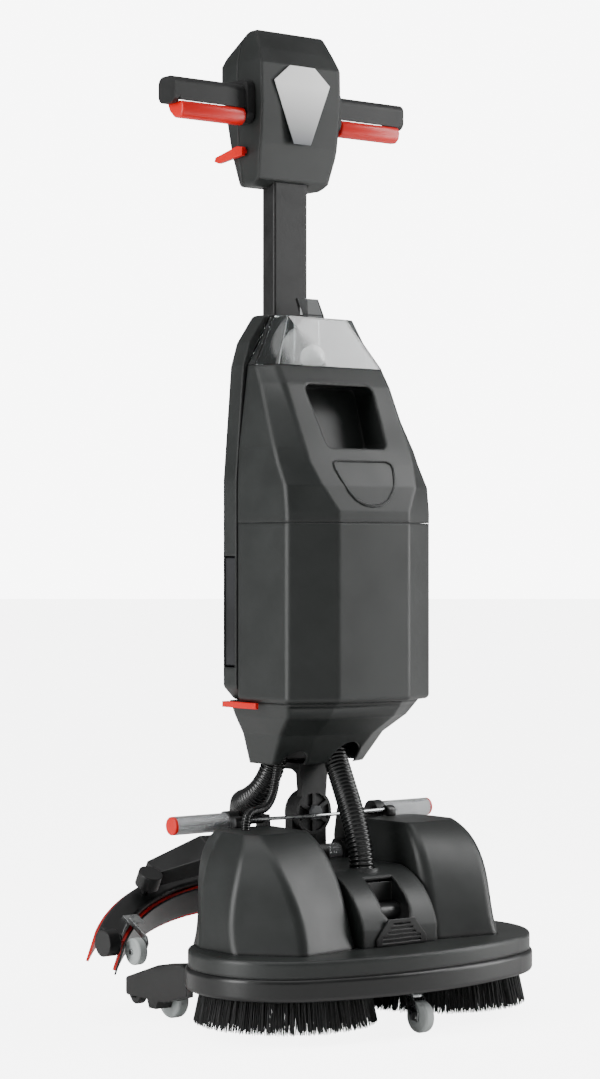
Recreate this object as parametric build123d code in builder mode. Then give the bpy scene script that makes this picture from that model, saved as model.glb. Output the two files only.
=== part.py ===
from build123d import *
import os
from math import asin, atan2, cos, degrees, pi, radians, sin, sqrt, tan

# An upright scrubber dryer with two counter-rotating brushes under a low deck.
# X runs across the machine, Y from its front to its back, and Z up from the floor.
# The origin is on the floor, under the middle of the whole machine.
# "back" in a name is a distance behind the line through the two brush centres.
# Left and right are as seen from in front, so left is towards -X.

# Fits
running = 0.05  # radial clearance of a shaft that turns in its bore
gap = 0.4  # space between two moulded pieces that meet in a joint line
free = 1.5  # space round a piece that moves past another

# Brush deck
brush_offset = 116  # from the middle to a brush's centre
end_radius = 116
front_reach = 136
deck_low = 51
bumper_top = 77
deck_top = 97
bumper_thick = 8
lip_inset = 3
pan_wall = 3.5
plate_thick = 4

# Brushes
tip_radius = 107
root_radius = 98
bristle_low = 12
block_radius = 94
block_low = 53
block_thick = 17
drive_radius = 8

# Brush motors
gearbox_radius = 42
gearbox_height = 28
motor_radius = 30
motor_height = 38

# Brush covers and the saddle between them
cover_wall = 3
cover_mid = 168
cover_top = 228
saddle_half = 56
saddle_nose = 118
saddle_top = 181
hose_bore = 31

# Front castor
castor_back = -93
castor_trail = 12
castor_radius = 18.5
castor_width = 13
castor_stem = 4
castor_crown = 43

# Rear wheels and their side brackets
bracket_out = 197
bracket_thick = 22
wheel_back = 152
wheel_radius = 22.5
wheel_width = 16
wheel_pin = 4
roller_radius = 11
roller_width = 11
roller_back = 196
roller_pin = 3

# Pitch axle, pedal and yoke
axle_back = 112
axle_height = 186
axle_radius = 11
axle_half = 58
yoke_half = 27
pivot_height = 239
pivot_radius = 27
pivot_front = 92
leaf = 9
pedal_height = 233
pedal_radius = 11
pedal_in = 118
pedal_out = 195

# Squeegee, drawn in its own plane, which is tilted while it is parked
squeegee_tilt = 28
hub_back = 183
hub_height = 92
squeegee_radius = 320
squeegee_half = 240
squeegee_depth = 30
squeegee_thick = 20
blade_thick = 3.5
blade_drop = 38
lift_back = 130
lift_height = 62
lift_pin = 5
tilt_along = 62
tilt_up = 30
arm_half = 16

# Tanks and the casing behind them
body_low = 377
tank_split = 589
lean_low = 602
lid_low = 777
lid_top = 838
body_front = -23
body_half = 110
body_corner = 4
flat_half = 54
casing_front = 105
casing_back = 136.6
tank_wall = 3
bay_front = 46
skirt_low = 300
skirt_wall = 3
shelf_thick = 8

# Handle pocket in the recovery tank
pocket_top = 754
pocket_low = 677
pocket_depth = 42

# Mast and head
mast_width = 52
mast_depth = 25
mast_wall = 2
mast_top = 1092
head_top = 1190
head_low = 1000
head_half = 61
head_split = 164
head_wall = 3
grip_height = 1108
grip_back = 150
grip_end = 178
grip_root = 66
grip_depth = 34
grip_tall = 24
bar_radius = 9
lever_back = 152
lever_height = 1042
lever_shaft = 3

# Hoses
hose_radius = 15
conduit_radius = 5.5

# Battery
battery_low = 418
battery_tall = 130
battery_long = 160
battery_thick = 24
battery_out = 104

# The squeegee's rear blade reaches furthest back, so it centres the machine
squeegee_sag = squeegee_radius - sqrt(squeegee_radius**2 - squeegee_half**2)
blade_along = squeegee_sag + squeegee_depth / 2 + blade_thick
rear_reach = (
    hub_back
    + blade_along * cos(radians(squeegee_tilt))
    + blade_drop * sin(radians(squeegee_tilt))
)
brush_y = (front_reach - rear_reach) / 2
sides = (("left", -1), ("right", 1))


os.makedirs("parts", exist_ok=True)


def level(height, across=0, back=0):
    """A sketch plane seen from above."""
    return Plane(origin=(across, brush_y + back, height), x_dir=(1, 0, 0), z_dir=(0, 0, 1))


def facing(back, across=0, height=0):
    """A sketch plane seen from in front: extruding it comes forwards."""
    return Plane(origin=(across, brush_y + back, height), x_dir=(1, 0, 0), z_dir=(0, -1, 0))


def beside(across, back=0, height=0):
    """A sketch plane with x towards the back and y up: extruding it goes to the right."""
    return Plane(origin=(across, brush_y + back, height), x_dir=(0, 1, 0), z_dir=(1, 0, 0))


def along_squeegee(up, across=0, along=0):
    """A sketch plane parallel to the squeegee's, with its origin between the end hubs."""
    rise = radians(squeegee_tilt)
    base = Plane(
        origin=(0, brush_y + hub_back, hub_height), x_dir=(1, 0, 0), z_dir=(0, -sin(rise), cos(rise))
    )
    return Plane(origin=base.from_local_coords((across, along, up)), x_dir=base.x_dir, z_dir=base.z_dir)


def beside_squeegee(across, along=0, up=0):
    """A sketch plane across the squeegee: x along its own depth and y up from its plane."""
    rise = radians(squeegee_tilt)
    origin = along_squeegee(up, across, along).origin
    return Plane(origin=origin, x_dir=(0, cos(rise), sin(rise)), z_dir=(1, 0, 0))


def deck_outline(inset):
    """The deck seen from above: straight behind, round at both ends and bowed in front."""
    ends = end_radius - inset
    bow = (brush_offset**2 + front_reach**2 - end_radius**2) / (2 * (front_reach - end_radius)) - inset
    bow_centre = bow - front_reach + inset
    turn = degrees(atan2(bow_centre, brush_offset))
    Line((-brush_offset, ends), (brush_offset, ends))
    CenterArc((brush_offset, 0), ends, 90, -90 - turn)
    CenterArc((0, bow_centre), bow, -turn, 2 * turn - 180)
    CenterArc((-brush_offset, 0), ends, 180 + turn, -90 - turn)


def both_sides(half):
    """The corners of a symmetrical outline, from those of its right half."""
    return [*half, *((-x, y) for x, y in reversed(half))]


def rounded(corners, radius, inset=0):
    """A straight-sided outline drawn inwards by an inset, with its outer corners rounded."""
    with BuildSketch(Plane.XY) as outline:
        with BuildLine():
            Polyline(*corners, close=True)
        make_face()
        offset(amount=-radius - inset, kind=Kind.INTERSECTION)
        offset(amount=radius, kind=Kind.ARC)
    return outline.sketch


# Deck: the pan that carries the motors, and the bumper round it
lug_thick = 8
lug_out = arm_half + free + lug_thick
with BuildPart() as deck_pan:
    with BuildSketch(level(deck_low)):
        with BuildLine():
            deck_outline(bumper_thick + gap / 4)
        make_face()
    extrude(amount=bumper_top - deck_low)
    with BuildSketch(level(bumper_top)):
        with BuildLine():
            deck_outline(lip_inset)
        make_face()
    extrude(amount=deck_top - bumper_top)
    fillet(deck_pan.faces().sort_by(Axis.Z)[-1].edges(), radius=4)
    # Two lugs behind for the squeegee's lift arm
    for _, side in sides:
        with BuildSketch(beside(side * (lug_out - lug_thick / 2) - lug_thick / 2)):
            with BuildLine():
                Polyline(
                    (end_radius - bumper_thick - 2, deck_low + 4),
                    (lift_back - 2, lift_height - 10),
                    (lift_back + 9, lift_height - 4),
                    (lift_back + 9, lift_height + 4),
                    (lift_back - 2, lift_height + 10),
                    (end_radius - bumper_thick - 2, deck_top - 8),
                    close=True,
                )
            make_face()
        extrude(amount=lug_thick)
    with BuildSketch(level(deck_low)):
        with BuildLine():
            deck_outline(bumper_thick + pan_wall)
        make_face()
    extrude(amount=deck_top - plate_thick - deck_low, mode=Mode.SUBTRACT)
    # Socket for the castor's stem
    with BuildSketch(level(castor_crown + free, 0, castor_back)):
        Circle(12)
    extrude(until=Until.NEXT)
    with BuildSketch(level(castor_crown, 0, castor_back)):
        Circle(castor_stem + running)
    extrude(amount=deck_top - plate_thick - castor_crown, mode=Mode.SUBTRACT)
    # Holes for the brush drive shafts
    with BuildSketch(level(deck_top - plate_thick)):
        with Locations((-brush_offset, 0), (brush_offset, 0)):
            Circle(drive_radius + free)
    extrude(amount=plate_thick, mode=Mode.SUBTRACT)
    with BuildSketch(beside(-lug_out)):
        with Locations((lift_back, lift_height)):
            Circle(lift_pin)
    extrude(amount=2 * lug_out, mode=Mode.SUBTRACT)
deck_pan.part.label = "deck_pan"
export_step(deck_pan.part, "parts/deck_pan.step")

with BuildPart() as bumper:
    with BuildSketch(level(deck_low)):
        with BuildLine():
            deck_outline(0)
        make_face()
    extrude(amount=bumper_top - deck_low)
    fillet(bumper.faces().sort_by(Axis.Z)[-1].edges(), radius=5)
    fillet(bumper.faces().sort_by(Axis.Z)[0].edges(), radius=5)
    with BuildSketch(level(deck_low)):
        with BuildLine():
            deck_outline(bumper_thick)
        make_face()
    extrude(amount=bumper_top - deck_low, mode=Mode.SUBTRACT)
    # Gap behind for the lift arm's lugs
    with BuildSketch(level(deck_low, 0, end_radius)):
        Rectangle(2 * (lug_out + gap), 3 * bumper_thick)
    extrude(amount=bumper_top - deck_low, mode=Mode.SUBTRACT)
bumper.part.label = "bumper"
export_step(bumper.part, "parts/bumper.step")

# Brushes: a moulded block with its drive shaft, and the bristles under it
for name, side in sides:
    with BuildPart() as brush_block:
        with BuildSketch(level(block_low, side * brush_offset)):
            Circle(block_radius)
        extrude(amount=block_thick)
        fillet(brush_block.faces().sort_by(Axis.Z)[-1].edges(), radius=3)
        with BuildSketch(level(block_low + block_thick, side * brush_offset)):
            Circle(30)
        extrude(amount=10)
        with BuildSketch(level(block_low, side * brush_offset)):
            with PolarLocations(64, 6):
                Circle(9)
        extrude(amount=block_thick, mode=Mode.SUBTRACT)
        with BuildSketch(level(block_low + block_thick, side * brush_offset)):
            Circle(drive_radius)
        extrude(amount=deck_top + 16 - block_low - block_thick)
    brush_block.part.label = f"brush_block_{name}"
    export_step(brush_block.part, f"parts/brush_block_{name}.step")

    with BuildPart() as bristles:
        with BuildSketch(beside(side * brush_offset)):
            with BuildLine():
                Polyline(
                    (42, block_low),
                    (root_radius - 8, block_low),
                    (root_radius, block_low - 6),
                    (tip_radius, bristle_low),
                    (36, bristle_low),
                    close=True,
                )
            make_face()
        revolve(axis=Axis((side * brush_offset, brush_y, 0), (0, 0, 1)))
    bristles.part.label = f"bristles_{name}"
    export_step(bristles.part, f"parts/bristles_{name}.step")

# Brush motors: a round gearbox on the deck with the motor on top of it
for name, side in sides:
    with BuildPart() as brush_motor:
        with BuildSketch(level(deck_top, side * brush_offset)):
            Circle(gearbox_radius)
        extrude(amount=gearbox_height)
        fillet(brush_motor.faces().sort_by(Axis.Z)[-1].edges(), radius=4)
        with BuildSketch(level(deck_top + gearbox_height, side * brush_offset)):
            Circle(motor_radius)
        extrude(amount=motor_height)
        fillet(brush_motor.faces().sort_by(Axis.Z)[-1].edges(), radius=3)
        with BuildSketch(level(deck_top, side * brush_offset)):
            Circle(drive_radius + running)
        extrude(amount=18, mode=Mode.SUBTRACT)
    brush_motor.part.label = f"brush_motor_{name}"
    export_step(brush_motor.part, f"parts/brush_motor_{name}.step")


# Brush covers: a tall hollow moulding over each motor, narrower and further back at its top.
# Each level lists the left cover's corners from its front inner corner round to its back.
cover_levels = (
    (deck_top, ((-57, -62), (-148, -76), (-201, -14), (-202, 52), (-180, 95), (-57, 95)), 14),
    (cover_mid, ((-62, -40), (-151, -52), (-192, -2), (-193, 56), (-172, 96), (-60, 96)), 14),
    (205, ((-68, -20), (-154, -26), (-178, 4), (-180, 58), (-166, 96), (-64, 96)), 12),
    (cover_top, ((-76, 6), (-148, 6), (-160, 22), (-160, 62), (-152, 90), (-72, 90)), 8),
)
with BuildPart() as cover_hollow:
    for height, corners, rounding in cover_levels:
        with BuildSketch(level(height - cover_wall if height == cover_top else height)):
            add(rounded(corners, rounding, cover_wall))
    loft()
with BuildPart() as cover_left:
    for height, corners, rounding in cover_levels:
        with BuildSketch(level(height)):
            add(rounded(corners, rounding))
    loft()
    add(cover_hollow.part, mode=Mode.SUBTRACT)
cover_left.part.label = "cover_left"
export_step(cover_left.part, "parts/cover_left.step")

with BuildPart() as cover_right:
    mirror(cover_left.part, about=Plane.YZ)
cover_right.part.label = "cover_right"
export_step(cover_right.part, "parts/cover_right.step")

# Saddle between the covers, with a curved front, a socket for the hose and a groove down its nose
saddle_back = 95
saddle_front = -70
groove_half = 22
with BuildPart() as saddle:
    for wall, mode in ((0, Mode.ADD), (cover_wall, Mode.SUBTRACT)):
        with BuildSketch(beside(-saddle_half + wall)):
            with BuildLine():
                front = saddle_front + wall
                top = saddle_top - wall
                Line((saddle_back - wall, deck_top), (front, deck_top))
                Line((front, deck_top), (front, saddle_nose))
                ThreePointArc((front, saddle_nose), (-44 + wall * 0.7, 160 - wall * 0.7), (-4, top))
                Line((-4, top), (saddle_back - wall, top))
                Line((saddle_back - wall, top), (saddle_back - wall, deck_top))
            make_face()
        extrude(amount=2 * (saddle_half - wall), mode=mode)
    # Groove for the water tube, round at its lower end
    with BuildSketch(facing(saddle_front - 1, 0, 142)):
        with Locations((0, 0)):
            Circle(groove_half)
        with Locations((0, 30)):
            Rectangle(2 * groove_half, 60)
    extrude(amount=-44, mode=Mode.SUBTRACT)
    with BuildSketch(level(saddle_top - 30)):
        Circle(hose_bore / 2 + 4)
    extrude(amount=30)
    with BuildSketch(level(saddle_top - 36)):
        Circle(hose_bore / 2)
    extrude(amount=40, mode=Mode.SUBTRACT)
saddle.part.label = "saddle"
export_step(saddle.part, "parts/saddle.step")

# Barrel in the groove: it turns the hose's flow down to the brushes
with BuildPart() as saddle_barrel:
    with BuildSketch(beside(-groove_half + gap)):
        with Locations((-34, 128)):
            Circle(15)
    extrude(amount=2 * (groove_half - gap))
    fillet(saddle_barrel.edges(), radius=2)
saddle_barrel.part.label = "saddle_barrel"
export_step(saddle_barrel.part, "parts/saddle_barrel.step")

# Slotted vent on the nose of the saddle
with BuildPart() as vent_grille:
    with BuildSketch(facing(saddle_front)):
        with BuildLine():
            Polyline((-38, 98), (38, 98), (38, 106), (20, 128), (-20, 128), (-38, 106), close=True)
        make_face()
    extrude(amount=2)
    with BuildSketch(facing(saddle_front)):
        for row in range(5):
            with Locations((0, 102 + 5 * row)):
                Rectangle(58 - 8 * row if row > 1 else 58, 2)
    extrude(amount=2, mode=Mode.SUBTRACT)
vent_grille.part.label = "vent_grille"
export_step(vent_grille.part, "parts/vent_grille.step")

# Front castor: a pressed fork on a stem, with its wheel trailing in front
wheel_gap = 1
castor_axle = castor_back - castor_trail
castor_half = castor_width / 2 + wheel_gap
with BuildPart() as castor_fork:
    with BuildSketch(level(castor_crown - 2.5, 0, castor_back)):
        Circle(castor_half + 2)
    extrude(amount=2.5)
    for _, side in sides:
        with BuildSketch(beside(side * (castor_half + 1) - 1)):
            with BuildLine():
                Polyline(
                    (castor_back + 8, castor_crown - 0.5),
                    (castor_axle + 7, castor_radius - 3),
                    (castor_axle - 5, castor_radius - 5),
                    (castor_axle - 6, castor_radius + 6),
                    (castor_back - 7, castor_crown - 0.5),
                    close=True,
                )
            make_face()
        extrude(amount=2)
    with BuildSketch(level(castor_crown, 0, castor_back)):
        Circle(castor_stem)
    extrude(amount=deck_top - plate_thick - castor_crown - 1)
    with BuildSketch(level(castor_crown, 0, castor_back)):
        Circle(7)
    extrude(amount=free - 0.3)
    with BuildSketch(beside(-castor_half - 3)):
        with Locations((castor_axle, castor_radius)):
            Circle(3)
    extrude(amount=2 * castor_half + 6)
castor_fork.part.label = "castor_fork"
export_step(castor_fork.part, "parts/castor_fork.step")


def wheel_profile(radius, width, bore, rounding):
    """Half of a wheel's section, from its bore out to its tread, with rounded shoulders."""
    with BuildSketch(Plane.XY) as half:
        with Locations((0, (radius + bore) / 2)):
            Rectangle(width, radius - bore)
        outer = half.vertices().group_by(Axis.Y)[-1]
        fillet(outer, radius=rounding)
    return half.sketch


def wheel_plane(across, back, height):
    """The plane of a wheel's section: x along its axle and y up from the axle's middle."""
    return Plane(origin=(across, brush_y + back, height), x_dir=(1, 0, 0), z_dir=(0, -1, 0))


with BuildPart() as castor_wheel:
    with BuildSketch(wheel_plane(0, castor_axle, castor_radius)):
        add(wheel_profile(castor_radius, castor_width, 3 + running, 3))
    revolve(axis=Axis((0, brush_y + castor_axle, castor_radius), (1, 0, 0)))
castor_wheel.part.label = "castor_wheel"
export_step(castor_wheel.part, "parts/castor_wheel.step")

# Rear brackets: a moulded cheek behind each end of the deck, with the wheel on its inner side
# and a small roller in its tip for tipping the machine back
cheek_mid = bracket_out - bracket_thick / 2
slot_half = roller_width / 2 + wheel_gap
roller_height = roller_radius + 13
wheel_mid = bracket_out - bracket_thick - wheel_gap - wheel_width / 2
bracket_tip = 207  # how far back the cheeks reach, clear of the lowered front blade
for name, side in sides:
    with BuildPart() as rear_bracket:
        with BuildSketch(beside(side * cheek_mid - bracket_thick / 2)):
            with BuildLine():
                Polyline(
                    (58, 57), (95, 73), (140, 67), (bracket_tip, 45), (bracket_tip, 24), (128, 24), (64, 42),
                    close=True,
                )
            make_face()
        extrude(amount=bracket_thick)
        fillet(rear_bracket.edges().filter_by(Axis.X), radius=4)
        with BuildSketch(level(0)):
            with BuildLine():
                deck_outline(0)
            make_face()
        extrude(amount=deck_top, mode=Mode.SUBTRACT)
        # Boss and pin for the wheel, on the cheek's inner side
        inner = side * (bracket_out - bracket_thick)
        with BuildSketch(beside(inner)):
            with BuildLine():
                Polyline(
                    (wheel_back - 14, 30), (wheel_back - 7, 14), (wheel_back + 7, 14), (wheel_back + 14, 30),
                    close=True,
                )
            make_face()
        extrude(amount=side * bracket_thick)
        with BuildSketch(beside(inner)):
            with Locations((wheel_back, wheel_radius)):
                Circle(wheel_pin)
        extrude(amount=-side * (wheel_width + wheel_gap))
        with BuildSketch(beside(inner - side * (wheel_width + wheel_gap + 0.3))):
            with Locations((wheel_back, wheel_radius)):
                Circle(wheel_pin + 3)
        extrude(amount=-side * 2)
        with BuildSketch(beside(inner - side * (wheel_width + wheel_gap))):
            with Locations((wheel_back, wheel_radius)):
                Circle(wheel_pin)
        extrude(amount=-side * 0.3)
        # Slot for the roller, open below and behind
        with BuildSketch(beside(side * cheek_mid - slot_half)):
            with Locations((roller_back + 11, roller_height - 3)):
                Rectangle(2 * roller_radius + 22 + 3, 2 * roller_radius + 10)
        extrude(amount=2 * slot_half, mode=Mode.SUBTRACT)
        with BuildSketch(beside(side * cheek_mid - bracket_thick / 2)):
            with Locations((roller_back, roller_height)):
                Circle(roller_pin)
        extrude(amount=bracket_thick)
    rear_bracket.part.label = f"rear_bracket_{name}"
    export_step(rear_bracket.part, f"parts/rear_bracket_{name}.step")

    with BuildPart() as rear_wheel:
        with BuildSketch(wheel_plane(side * wheel_mid, wheel_back, wheel_radius)):
            add(wheel_profile(wheel_radius, wheel_width, wheel_pin + running, 4))
        revolve(axis=Axis((0, brush_y + wheel_back, wheel_radius), (1, 0, 0)))
    rear_wheel.part.label = f"rear_wheel_{name}"
    export_step(rear_wheel.part, f"parts/rear_wheel_{name}.step")

    with BuildPart() as tip_roller:
        with BuildSketch(wheel_plane(side * cheek_mid, roller_back, roller_height)):
            add(wheel_profile(roller_radius, roller_width, roller_pin + running, 2))
        revolve(axis=Axis((0, brush_y + roller_back, roller_height), (1, 0, 0)))
    tip_roller.part.label = f"tip_roller_{name}"
    export_step(tip_roller.part, f"parts/tip_roller_{name}.step")

# Pitch axle across the back of the covers, carried by two posts that stand on the deck
with BuildPart() as axle_tube:
    with BuildSketch(beside(-axle_half)):
        with Locations((axle_back, axle_height)):
            Circle(axle_radius)
    extrude(amount=2 * axle_half)
axle_tube.part.label = "axle_tube"
export_step(axle_tube.part, "parts/axle_tube.step")

post_thick = 6
with BuildPart() as axle_posts:
    for _, side in sides:
        with BuildSketch(beside(side * (axle_half - post_thick / 2) - post_thick / 2)):
            with BuildLine():
                Polyline(
                    (saddle_back + gap, deck_top),
                    (end_radius - lip_inset - 5, deck_top),
                    (end_radius + 12, axle_height - 20),
                    (axle_back + 17, axle_height),
                    (axle_back + 8, axle_height + 15),
                    (axle_back - 8, axle_height + 15),
                    (saddle_back + gap, axle_height + 4),
                    close=True,
                )
            make_face()
        extrude(amount=post_thick)
    with BuildSketch(beside(-axle_half)):
        with Locations((axle_back, axle_height)):
            Circle(axle_radius)
    extrude(amount=2 * axle_half, mode=Mode.SUBTRACT)
axle_posts.part.label = "axle_posts"
export_step(axle_posts.part, "parts/axle_posts.step")

# Yoke: rocks back on the axle and carries the pivot on which the body leans from side to side
yoke_front = pivot_front + leaf + gap
yoke_thick = 14
with BuildPart() as yoke:
    with BuildSketch(facing(yoke_front, 0, pivot_height)):
        Circle(pivot_radius)
        with BuildLine():
            Polyline(
                (-pivot_radius + 1, 4),
                (-yoke_half, axle_height - pivot_height),
                (yoke_half, axle_height - pivot_height),
                (pivot_radius - 1, 4),
                close=True,
            )
        make_face()
        with Locations((0, -33)):
            Rectangle(20, 16, mode=Mode.SUBTRACT)
        Circle(5, mode=Mode.SUBTRACT)
    extrude(amount=-yoke_thick)
    with BuildSketch(beside(-yoke_half)):
        with Locations((axle_back, axle_height)):
            Circle(axle_radius + 5)
    extrude(amount=2 * yoke_half)
    with BuildSketch(beside(-yoke_half)):
        with Locations((axle_back, axle_height)):
            Circle(axle_radius + running)
    extrude(amount=2 * yoke_half, mode=Mode.SUBTRACT)
yoke.part.label = "yoke"
export_step(yoke.part, "parts/yoke.step")

with BuildPart() as pivot_bolt:
    with BuildSketch(facing(pivot_front - 0.2, 0, pivot_height)):
        RegularPolygon(9, 6)
    extrude(amount=6)
    with BuildSketch(facing(pivot_front - 0.2, 0, pivot_height)):
        Circle(5)
    extrude(amount=-(leaf + gap + 0.2 + yoke_thick))
    with BuildSketch(facing(yoke_front + yoke_thick, 0, pivot_height)):
        Circle(11)
    extrude(amount=-4)
pivot_bolt.part.label = "pivot_bolt"
export_step(pivot_bolt.part, "parts/pivot_bolt.step")

# Foot pedal: two arms on the axle's ends carry a knurled tube each, and bright rods run inwards
arm_in = axle_half + gap
arm_thick = 7
with BuildPart() as pedal_frame:
    for _, side in sides:
        with BuildSketch(beside(side * (arm_in + arm_thick / 2) - arm_thick / 2)):
            with BuildLine():
                Polyline(
                    (axle_back - 12, axle_height - 6),
                    (axle_back + 12, axle_height - 10),
                    (axle_back + 14, axle_height + 20),
                    (axle_back + 8, pedal_height + 6),
                    (axle_back - 8, pedal_height + 6),
                    (axle_back - 12, axle_height + 20),
                    close=True,
                )
            make_face()
        extrude(amount=arm_thick)
        with BuildSketch(beside(side * (arm_in + arm_thick))):
            with Locations((axle_back, pedal_height)):
                Circle(5)
        extrude(amount=side * (pedal_in - arm_in - arm_thick))
        with BuildSketch(beside(side * (pedal_in - 12))):
            with Locations((axle_back, pedal_height)):
                Circle(pedal_radius + 2)
        extrude(amount=side * 14)
        with BuildSketch(beside(side * (pedal_in + 2))):
            with Locations((axle_back, pedal_height)):
                Circle(6)
        extrude(amount=side * (pedal_out - pedal_in - 4))
pedal_frame.part.label = "pedal_frame"
export_step(pedal_frame.part, "parts/pedal_frame.step")

with BuildPart() as pedal_tubes:
    for _, side in sides:
        with BuildSketch(beside(side * (pedal_in + 2))):
            with Locations((axle_back, pedal_height)):
                Circle(pedal_radius)
                Circle(6, mode=Mode.SUBTRACT)
        extrude(amount=side * (pedal_out - pedal_in - 2))
pedal_tubes.part.label = "pedal_tubes"
export_step(pedal_tubes.part, "parts/pedal_tubes.step")

with BuildPart() as pedal_plugs:
    for _, side in sides:
        with BuildSketch(beside(side * pedal_out)):
            with Locations((axle_back, pedal_height)):
                Circle(pedal_radius)
        extrude(amount=side * 4)
    fillet(pedal_plugs.edges().group_by(Axis.X)[0] + pedal_plugs.edges().group_by(Axis.X)[-1], radius=1.5)
pedal_plugs.part.label = "pedal_plugs"
export_step(pedal_plugs.part, "parts/pedal_plugs.step")

# Lift arm: hinged between the deck's lugs, with the squeegee's carrier hinged on its far end
tilt_origin = beside_squeegee(0, tilt_along, tilt_up).origin
tilt_back = tilt_origin.Y - brush_y
tilt_height = tilt_origin.Z
arm_lie = atan2(tilt_height - lift_height, tilt_back - lift_back)
arm_plane = Plane(
    origin=(-arm_half, brush_y + lift_back, lift_height),
    x_dir=(0, cos(arm_lie), sin(arm_lie)),
    z_dir=(1, 0, 0),
)
arm_length = sqrt((tilt_height - lift_height) ** 2 + (tilt_back - lift_back) ** 2)
eye_radius = 9
with BuildPart() as lift_arm:
    with BuildSketch(arm_plane):
        with Locations((arm_length / 2, 0)):
            SlotCenterToCenter(arm_length, 2 * eye_radius)
    extrude(amount=2 * arm_half)
    with BuildSketch(arm_plane):
        with Locations((arm_length / 2, 3)):
            SlotCenterToCenter(arm_length - 46, 2 * eye_radius - 8)
    extrude(amount=arm_half - 3, mode=Mode.SUBTRACT)
    with BuildSketch(arm_plane.offset(arm_half + 3)):
        with Locations((arm_length / 2, 3)):
            SlotCenterToCenter(arm_length - 46, 2 * eye_radius - 8)
    extrude(amount=arm_half - 3, mode=Mode.SUBTRACT)
    with BuildSketch(arm_plane):
        with Locations((0, 0), (arm_length, 0)):
            Circle(lift_pin + running)
    extrude(amount=2 * arm_half, mode=Mode.SUBTRACT)
lift_arm.part.label = "lift_arm"
export_step(lift_arm.part, "parts/lift_arm.step")


def squeegee_band(inner, outer, half_width):
    """A curved strip seen square to the squeegee, from one end hub to the other."""
    centre = squeegee_sag - squeegee_radius
    spread = degrees(asin(half_width / squeegee_radius))
    with BuildSketch(Plane.XY) as band:
        with BuildLine():
            outside = CenterArc((0, centre), outer, 90 - spread, 2 * spread)
            inside = CenterArc((0, centre), inner, 90 - spread, 2 * spread)
            Line(outside @ 0, inside @ 0)
            Line(outside @ 1, inside @ 1)
        make_face()
    return band.sketch


# Squeegee: a curved beam with a blade along each side and a suction port in the middle
beam_in = squeegee_radius - squeegee_depth / 2
beam_out = squeegee_radius + squeegee_depth / 2
beam_low = -8
beam_top = beam_low + squeegee_thick
port_along = squeegee_sag
port_up = 42
hub_radius = 16
squeegee_normal = Axis((0, 0, 0), along_squeegee(0).z_dir)
with BuildPart() as squeegee_beam:
    with BuildSketch(along_squeegee(beam_low)):
        add(squeegee_band(beam_in, beam_out, squeegee_half - 4))
    extrude(amount=squeegee_thick)
    fillet(squeegee_beam.faces().sort_by(squeegee_normal)[-1].edges(), radius=4)
    for _, side in sides:
        with BuildSketch(beside_squeegee(side * (squeegee_half - 9), 0, 0)):
            Circle(hub_radius)
        extrude(amount=side * 16)
    with BuildSketch(along_squeegee(beam_top - 2, 0, port_along)):
        Circle(hose_radius + 2)
    extrude(amount=port_up - beam_top + 2)
    with BuildSketch(along_squeegee(beam_low, 0, port_along)):
        Circle(hose_radius - 2)
    extrude(amount=port_up - beam_low, mode=Mode.SUBTRACT)
squeegee_beam.part.label = "squeegee_beam"
export_step(squeegee_beam.part, "parts/squeegee_beam.step")

for name, inner in (("front_blade", beam_in - blade_thick), ("rear_blade", beam_out)):
    with BuildPart() as blade:
        with BuildSketch(along_squeegee(-blade_drop)):
            add(squeegee_band(inner, inner + blade_thick, squeegee_half - 6))
        extrude(amount=blade_drop + 4)
    blade.part.label = name
    export_step(blade.part, f"parts/{name}.step")

# Carrier: an arch over the beam, hinged on the lift arm and clamped down by two knobs
lug_side = arm_half + free
crown_half = 78
crown_low = 56
crown_thick = 26
crown_near = 44
crown_far = 86
foot_out = 126
foot_along = port_along - 12
with BuildPart() as squeegee_carrier:
    with BuildSketch(along_squeegee(crown_low)):
        with Locations((0, (crown_near + crown_far) / 2)):
            Rectangle(2 * crown_half, crown_far - crown_near)
    extrude(amount=crown_thick)
    for _, side in sides:
        with BuildSketch(beside_squeegee(side * crown_half)):
            with Locations(((crown_near + crown_far) / 2, crown_low + crown_thick / 2)):
                Rectangle(crown_far - crown_near, crown_thick)
        with BuildSketch(beside_squeegee(side * foot_out)):
            with Locations((foot_along, beam_top + 11)):
                Rectangle(26, 21)
        loft()
    for _, side in sides:
        # Lug for the tilt hinge
        with BuildSketch(beside_squeegee(side * (lug_side + 4) - 4)):
            with BuildLine():
                Polyline(
                    (crown_near + 2, crown_low), (tilt_along - 10, tilt_up - 4),
                    (tilt_along - 4, tilt_up - 10), (tilt_along + 4, tilt_up - 10),
                    (tilt_along + 10, tilt_up - 4), (crown_far - 8, crown_low),
                    close=True,
                )
            make_face()
        extrude(amount=8)
    with BuildSketch(beside_squeegee(-lug_side - 8, tilt_along, tilt_up)):
        Circle(lift_pin)
    extrude(amount=2 * lug_side + 16)
squeegee_carrier.part.label = "squeegee_carrier"
export_step(squeegee_carrier.part, "parts/squeegee_carrier.step")

knob_across = 146
knob_along = squeegee_sag - squeegee_radius + sqrt(squeegee_radius**2 - knob_across**2)
with BuildPart() as squeegee_knobs:
    for _, side in sides:
        with BuildSketch(along_squeegee(beam_top, side * knob_across, knob_along)):
            Circle(4)
        extrude(amount=14)
        with BuildSketch(along_squeegee(beam_top + 12, side * knob_across, knob_along)):
            Circle(15)
        extrude(amount=18)
squeegee_knobs.part.label = "squeegee_knobs"
export_step(squeegee_knobs.part, "parts/squeegee_knobs.step")

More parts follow.
